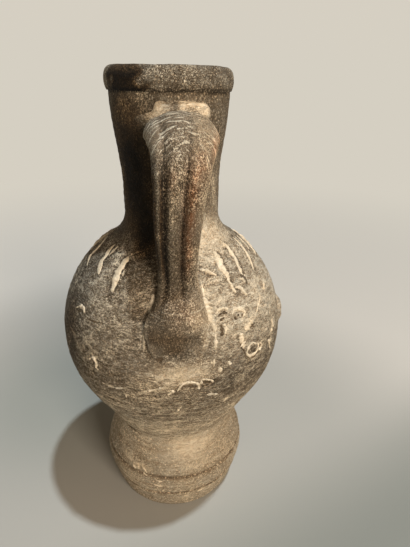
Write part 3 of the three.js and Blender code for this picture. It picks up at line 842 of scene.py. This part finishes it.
def makeHandle():
    line, ends = handleLine()
    lengths = [0]
    for before, after in zip(line, line[1:]):
        lengths.append(lengths[-1] + hypot(after[0] - before[0], after[1] - before[1]))
    stretches = [0] + [lengths[end] for end in ends]
    stations = []
    for place, *sizes in handleStations():
        k = min(2, floor(place))
        stations.append((stretches[k] + (stretches[k + 1] - stretches[k]) * (place - k), *sizes))
    rings, sides, outers, grooves = [], [], [], []
    for distance in spread(0, lengths[-1] - handle["buried"], handle["rings"]):
        k = max(i for i in range(len(lengths) - 1) if lengths[i] <= distance)
        t = (distance - lengths[k]) / (lengths[k + 1] - lengths[k])
        here = [line[k][n] + (line[k + 1][n] - line[k][n]) * t for n in (0, 1)]
        low, high = line[max(0, k - 2)], line[min(len(line) - 1, k + 3)]
        ahead = Vector((high[0] - low[0], high[1] - low[1])).normalized()
        width, crown, groove, fullness, softness, sway = through(stations, distance)
        ring = []
        for side, across, out in strapSection(width, crown, groove, fullness, softness):
            height = here[1] - ahead.x * out
            ring.append(Vector((across + sway + leanAt(height), -(here[0] + ahead.y * out), height)) * mm)
            sides.append(side)
            outers.append(0.0 if out < 0 else 1.0)
            grooves.append(min(1, groove / 2))
        rings.append(ring)
    letGo()
    bpy.ops.mesh.primitive_circle_add(vertices=len(rings[0]), radius=0.01, fill_type="NGON")
    piece = editNew("handle_pulled")
    for number, ring in enumerate(rings):
        if number:
            bpy.ops.mesh.extrude_region_move(TRANSFORM_OT_translate={"value": (0, 0, 0)})
        mesh = bmesh.from_edit_mesh(piece.data)
        mesh.verts.ensure_lookup_table()
        for i, point in enumerate(ring):
            mesh.verts[number * len(ring) + i].co = point
    bmesh.update_edit_mesh(piece.data)
    closeUp(piece, 60)
    for name, values in (("side", sides), ("outer", outers), ("groove", grooves)):
        setMark(piece, name, values)
    rounding = piece.modifiers.new("rounding", "SUBSURF")
    rounding.levels = 1
    rounding.render_levels = 1
    bpy.ops.object.modifier_apply(modifier=rounding.name)
    return piece


handlePiece = makeHandle()


# The handle's tone by height, and the heights over which its parts run into each other
handleWear = dict(
    # the dark from 112 to 126 mm on the pressed pad is the clay's own tone and painted shade under the
    # handle's bend
    toneUp=[(112, 0.09), (118, 0.055), (126, 0.082), (135, 0.15), (141, 0.19), (150, 0.14), (160, 0.15),
            (175, 0.19), (192, 0.26), (200, 0.42), (212, 0.46)],
    strap=(148, 160), crest=(192, 204), padFoot=(121, 129), arcs=(192, 199), calm=(132, 146),
    layers=((0.25, 9), (0.14, 3.4), (0.08, 1.4)), chip=(0.8, 191.2), chipMm=0.8,
)


def weatherHandle():
    rows = []
    wear = handleWear
    leftGroove, rightGroove = handle["grooveSides"]
    normals = [vertex.normal.copy() for vertex in handlePiece.data.vertices]
    sides, outers, grooves = (readMark(handlePiece, kind) for kind in ("side", "outer", "groove"))
    vertices = handlePiece.data.vertices
    for vertex, normal, side, outer, groove in zip(vertices, normals, sides, outers, grooves):
        point = inMm(vertex)
        x, height = point.x, point.z
        vertex.co += normal * uneven(point, wear["layers"]) * mm
        outer = smooth(0.3, 0.8, outer)
        right, left = smooth(0.15, 0.29, side), 1 - smooth(-0.68, -0.6, side)
        strap, crest = smooth(*wear["strap"], height), smooth(*wear["crest"], height)

        # painted shade in the strap's grooves, fading towards the crest, and in one chip
        cut = max(near(side, leftGroove + 0.04, 0.1), 0.8 * near(side, rightGroove, 0.05))
        cut *= outer * groove * (0.4 + 0.6 * (1 - smooth(190, 205, height)))
        chipAway = hypot(x - wear["chip"][0], height - wear["chip"][1])
        cut = max(cut, 1.3 * outer * near(chipAway, 0, wear["chipMm"]))

        # paler rib on the right and at both ends; painted shade on the left rib, away from the light, with a
        # painted highlight along its ridge
        tone = along(wear["toneUp"], height)
        tone += 0.1 * near(x, 0, 7) * near(height, 141, 6) + 0.42 * near(x, 7, 4) * near(height, 137, 6)
        tone += right * strap * (0.09 + 0.11 * crest)
        tone += 0.14 * near(side, 0.97, 0.05) * strap + 0.14 * left * crest
        tone *= 1 - 0.75 * left * strap * (1 - crest) * (1 - 0.7 * near(side, -0.84, 0.08))

        # the pad's edge takes the tone of the body round it, and the strap's back, facing the neck, gets
        # painted shade
        skirt = max((1 - strap) * smooth(0.7, 1.0, side), 1 - smooth(*wear["padFoot"], height))
        skirt = max(skirt, 0.6 * (1 - strap) * (1 - smooth(-1.0, -0.85, side)))
        tone += (toneAt(point) - tone) * skirt
        tone *= 1 - 0.55 * (1 - outer)

        rust = near(side, 0.38, 0.26) * strap * (1 - smooth(190, 198, height))
        for share, away, rise in (
            (0.8, near(side, 0.45, 0.35), near(height, 195, 6)),
            (0.7, near(side, 0.93, 0.12), near(height, 203, 5)),
            (0.5, near(side, -0.35, 0.14), near(height, 193, 4)),
            (0.35, near(x, 0, 5), near(height, 139, 6)),
        ):
            rust = max(rust, share * away * rise)
        rust *= outer
        tone *= 1 - 0.2 * rust
        warm = 0.85 - 0.4 * left * strap - 0.45 * crest * (1 - right)
        arcMark = max(smooth(*wear["arcs"], height), 0.9 * near(height, 189, 3.5) * right,
                      0.6 * near(height, 140, 6))
        calm = 0.7 * (1 - smooth(*wear["calm"], height))
        rows.append(markRow(tone, warm, rust, 0.0, 0.9 * cut, outer * arcMark, calm))
    setMarks(handlePiece, rows)


weatherHandle()
print("turned pieces and handle shaped")


# Pressed clay: a ball's halves made a rounded lens over the surface under it, feathered at its edge
ball = dict(segments=144, rings=84, radius=10)


def pressed(name, place, size):
    letGo()
    bpy.ops.mesh.primitive_uv_sphere_add(
        segments=ball["segments"], ring_count=ball["rings"], radius=ball["radius"] * mm)
    piece = editNew(name)
    wide, tall = size["width"] / 2, size["height"] / 2
    bpy.ops.transform.resize(value=(wide / ball["radius"], tall / ball["radius"], 1))
    closeUp(piece, 60)
    rows = []
    for vertex in piece.data.vertices:
        across, up, out = inMm(vertex)
        reach = min(1, hypot(across / wide, up / tall))
        edge = 1 + size["ragged"] * noise(Vector((across, up, 5)) / 6)
        if out > 0:
            lift = size["proud"] * (1 - reach ** size["fullness"]) ** size["softness"] - size["feather"]
            lift += 0.3 * (1 - reach) * noise(Vector((across, up, 1)) / 3)
        else:
            lift = -size["feather"] - size["sink"] * sqrt(max(0, 1 - reach * reach))
        ground = place(across * edge, up * edge, 0)
        vertex.co = place(across * edge, up * edge, lift + weathered(ground)[0]) * mm
        rows.append(markPlace(ground))
        rows[-1]["tone"] += size["paler"](across, up)
    setMarks(piece, rows)
    piece.data.update()
    return piece


def overBelly(middleAngle, turn, across, up, out):
    rise = radians(middleAngle) + up / bellyRadius
    around = radians(turn) + across / (bellyRadius * cos(rise))
    reach = bellyRadius + out
    return Vector((reach * cos(rise) * sin(around), -reach * cos(rise) * cos(around),
                   bellyHeight + reach * sin(rise)))


def rootSmears(across, up):
    # a cream smear hugs the handle's right shoulder, a tan one its left, both ragged
    ragged = 0.13 * noise(Vector((across, up, 3)) / 3) + 0.07 * noise(Vector((across, up, 9)) / 1.1)
    reach, bearing = hypot(across / 17, up / 11) + ragged, degrees(atan2(up / 11, across / 17))
    cream = smooth(24, 52, bearing) * (1 - smooth(82, 94, bearing)) * near(reach, 0.84, 0.15)
    cream *= 1 + 1.2 * ragged
    tanned = near(across, -8.6, 4.6) * near(up + 12 * ragged, 7.4, 3.4)
    return 1.5 * cream + 1.05 * tanned


rootBed = dict(width=34, height=22, proud=3.2, sink=1.2, feather=0.25, fullness=2.2, softness=0.8,
               ragged=0.25, middle=206.5, paler=rootSmears)
padBed = dict(width=32, height=42, proud=1.4, sink=1.2, feather=0.3, fullness=2, softness=1.2,
              ragged=0.25, angle=21, paler=lambda across, up: 0.12 * near(across, 12, 2.5))
pellet = dict(width=12, height=15, proud=2.1, sink=1.2, feather=0.2, fullness=2.2, softness=0.8,
              ragged=0.3, middle=116, turn=77, paler=lambda across, up: 0.12)


def overRoot(across, up, out):
    height = rootBed["middle"] + up
    radius = neckRadiusAt(height)
    around = (across + leanAt(rootBed["middle"])) / radius
    return Vector(((radius + out) * sin(around), -(radius + out) * cos(around), height))


def overPad(across, up, out):
    shift = leanAt(bellyHeight + bellyRadius * sin(radians(padBed["angle"])))
    return overBelly(padBed["angle"], 0, across + shift, up, out)


def overSide(across, up, out):
    rise = degrees(asin((pellet["middle"] - bellyHeight) / bellyRadius))
    return overBelly(rise, pellet["turn"], across, up, out)


rootBedPiece = pressed("root_bed_pressed", overRoot, rootBed)
padBedPiece = pressed("pad_bed_pressed", overPad, padBed)
pelletPiece = pressed("side_pellet_pressed", overSide, pellet)


# Trailed or crusted strokes lying on the pot, each a stretched ball bent along its points
def makeStrokes(name, look, rows):
    strokes, marks = [], []
    for number, (width, tone, *line) in enumerate(rows):
        letGo()
        bpy.ops.mesh.primitive_uv_sphere_add(segments=look["segments"], ring_count=look["rings"], radius=1)
        stroke = editNew("stroke")
        bpy.ops.object.mode_set(mode="OBJECT")
        # dark strokes, partly cracks and partly painted shadow beside the lifted skin, sit lower
        proud = look["proud"] if tone > 0.2 else crust["crackAndShadowProud"]
        seed = Vector((number, 0, 0))
        for vertex in stroke.data.vertices:
            share = min(0.999, max(0.0, (vertex.co.z + 1) / 2))
            turn, height = strokePoint(line, share)
            here, ahead = onPot(turn, height), onPot(*strokePoint(line, min(1, share + 0.02)))
            outward, upward = potSlopeAt(height)
            normal = Vector((outward * sin(radians(turn)), -outward * cos(radians(turn)), upward))
            forward = (ahead - here).normalized() if (ahead - here).length > 1e-6 else Vector((0, 0, -1))
            sideways = forward.cross(normal).normalized()
            wobble = 0.5 * noise(here / 2.3 + seed) + look["ragged"] * noise(here / 0.9 + seed)
            wobble = max(0.1, 1 + wobble)
            shift = 0.2 * width * noise(here / 3 + Vector((0, number, 0)))
            side = vertex.co.x * width / 2 * wobble + shift
            out = vertex.co.y * (proud * wobble if vertex.co.y > 0 else look["sink"])
            vertex.co = (here + sideways * side + normal * (weathered(here)[0] + out)) * mm
        marks += [markRow(min(0.95, max(tone * 1.25, 0.1)), 0.6)] * len(stroke.data.vertices)
        strokes.append(stroke)
    letGo()
    for stroke in strokes:
        stroke.select_set(True)
    bpy.context.view_layer.objects.active = strokes[0]
    bpy.ops.object.join()
    piece = editNew(name)
    closeUp(piece, 60)
    setMarks(piece, marks)
    return piece


slipPiece = makeStrokes("slip_strokes", slip, slipStrokes)
crustPiece = makeStrokes("lifted_crust", crust, crustStrokes)
print("slip and crust laid")

# Finishes, each from the same clay in its own state
footClay = earthenware("earthenware_foot", keen=0.7, lineShare=2.4, fleckMm=1.1, fleckShare=2.4, level=-0.5)
bodyClay = earthenware(
    "earthenware_body", keen=1.8, stretch=2.2, grainMm=1.35, patchMm=4, patchShare=3.8, lineShare=2.2,
    lineTop=122, level=-0.33)
neckClay = earthenware("earthenware_neck", lineShare=0.5, stretch=0.8, grainMm=0.8, gritMm=0.45, fleckMm=0.7)
rimClay = earthenware(
    "earthenware_rim", lineShare=0.0, stretch=1.2, grainMm=0.8, gritMm=0.45, fleckMm=0.7, keen=1.35)
handleClay = earthenware(
    "earthenware_handle", lineShare=0.0, stretch=0.8, grainMm=0.75, gritMm=0.4, fleckMm=0.6, patchMm=4,
    cloudShare=1.2, patchShare=1.8, grainShare=2.2, gritShare=5.5, fleckShare=1.2, keen=1.6)
lutingClay = earthenware("earthenware_luting", lineShare=0.2)
slipClay = earthenware("trailed_slip", lineShare=0.0, keen=0.4, level=-0.1, bumpMm=1.0)

for dressed in (
    (footPiece, "foot", "foot_clay", footClay),
    (bodyPiece, "body", "body_clay", bodyClay),
    (neckPiece, "neck", "neck_clay", neckClay),
    (rimPiece, "rim", "rim_clay", rimClay),
    (handlePiece, "handle", "handle_clay", handleClay),
    (rootBedPiece, "root_bed", "luting_clay", lutingClay),
    (padBedPiece, "pad_bed", "luting_clay", lutingClay),
    (pelletPiece, "side_pellet", "luting_clay", lutingClay),
    (slipPiece, None, "luting_clay", slipClay),
    (crustPiece, None, "luting_clay", slipClay),
):
    dress(*dressed)

# Floor, backdrop and light: the ground's colours near, low in the picture, in a painted shadow behind the
# jug, at mid distance left and right (the left painted lighter where the fill lamp's shadow falls), and far;
# distances in metres
stageLook = dict(
    near="#b1b0a8", low="#8b8e87", shade="#9c9f98", left="#dad6cc", right="#d0ccc2", far="#d5cfc2",
    sky="#d6cfc2", radius=6, lowWay=(0.35, -1, 0), shadeCentre=(-0.08, 0.07, 0), farFrom=0.25, farTo=0.9,
)


def makeFloor():
    letGo()
    bpy.ops.mesh.primitive_circle_add(vertices=96, radius=stageLook["radius"], fill_type="NGON")
    piece = editNew("floor")
    bpy.ops.object.mode_set(mode="OBJECT")
    # matt paper: a pale ground that takes the shadow, with a painted shadow and a painted lighter stretch in
    # its colours, and runs into the backdrop's colour
    material, add = newMaterial("paper_floor")
    place = add("TexCoord").outputs["Object"]
    away = add("VectorMath", [place], operation="LENGTH").outputs["Value"]
    lowWay = add("VectorMath", [place, stageLook["lowWay"]], operation="DOT_PRODUCT").outputs["Value"]
    behind = add("VectorMath", [place, stageLook["shadeCentre"]], operation="DISTANCE").outputs["Value"]
    across = add("SeparateXYZ", [place]).outputs["X"]
    share = {}
    for kind, value, low, high in (
        ("low", lowWay, 0.02, 0.11), ("shade", behind, 0.11, 0.02), ("right", across, -0.1, 0.12),
        ("up", lowWay, 0.07, 0.0), ("far", away, stageLook["farFrom"], stageLook["farTo"]),
    ):
        share[kind] = add("MapRange", [value, low, high], **soft)
    further = add("Math", [share["right"], 0.08, away], **timesPlus)
    middle = add("MapRange", [further, 0.18, 0.34], **soft)
    share["middle"] = add("Math", [middle, share["up"]], **times)
    tint = {kind: linearColour(stageLook[kind]) for kind in ("near", "low", "shade", "left", "right")}
    for mixed, first, second, kind in (
        ("near", "near", "low", "low"), ("near", "near", "shade", "shade"),
        ("middle", "left", "right", "right"), ("near", "near", "middle", "middle"),
    ):
        tint[mixed] = add("Mix", {0: share[kind], 6: tint[first], 7: tint[second]}, **tinted)
    inputs = {"Base Color": tint["near"], "Roughness": 0.95, "Specular IOR Level": 0.1}
    skin = add("BsdfPrincipled", inputs)
    glow = add("Emission", {"Color": linearColour(stageLook["far"]), "Strength": 1.0})
    seen = add("LightPath").outputs["Is Camera Ray"]
    seen = add("Math", [share["far"], seen], **times)
    both = add("MixShader", [seen, skin, glow])
    add("OutputMaterial", {"Surface": both})
    piece.data.materials.append(material)


makeFloor()

lights = dict(
    sunFrom=(22, -9, 107), sunAngle=2.5, sunStrength=2.12, sunColour="#ecf6ff",
    fillTurn=25, fillRise=19, fillFar=1.2, fillSize=0.45, fillPower=12.5, fillColour="#ffeddb",
    fillAim=(0, 0, 0.09), skyStrength=0.175, skyColour="#ffe3c6", skyBlend=0.25,
)


def addLight(name, kind, strength, colour, towards):
    lamp = bpy.data.lights.new(name, kind)
    lamp.energy = strength
    lamp.color = linearColour(colour)[:3]
    light = bpy.data.objects.new(name, lamp)
    light.rotation_euler = towards.to_track_quat("Z", "Y").to_euler()
    scene.collection.objects.link(light)
    return light


def makeLights():
    sun = addLight("sun", "SUN", lights["sunStrength"], lights["sunColour"], Vector(lights["sunFrom"]))
    sun.data.angle = radians(lights["sunAngle"])
    turn, rise = radians(lights["fillTurn"]), radians(lights["fillRise"])
    towards = Vector((sin(turn) * cos(rise), -cos(turn) * cos(rise), sin(rise)))
    fill = addLight("fill", "AREA", lights["fillPower"], lights["fillColour"], towards)
    fill.data.size = lights["fillSize"]
    fill.location = Vector(lights["fillAim"]) + towards * lights["fillFar"]


def makeRoom():
    room = bpy.data.worlds.new("room")
    scene.world = room
    room.use_nodes = True
    room.node_tree.nodes.clear()
    add = partial(addNode, room.node_tree)
    path = add("LightPath").outputs
    seen = add("Math", [path["Is Camera Ray"], path["Is Glossy Ray"]], **larger)
    seen = add("Math", [seen, path["Is Transmission Ray"]], **larger)
    inputs = {"Color": linearColour(lights["skyColour"]), "Strength": lights["skyStrength"]}
    light = add("Background", inputs)
    towards = add("TexCoord").outputs["Generated"]
    height = add("SeparateXYZ", [towards]).outputs["Z"]
    up = add("MapRange", [height, 0, lights["skyBlend"]], **soft)
    inputs = {0: up, 6: linearColour(stageLook["far"]), 7: linearColour(stageLook["sky"])}
    colour = add("Mix", inputs, **tinted)
    backdrop = add("Background", {"Color": colour, "Strength": 1.0})
    both = add("MixShader", [seen, light, backdrop])
    add("OutputWorld", {"Surface": both})


makeLights()
makeRoom()
print("stage and lights set")
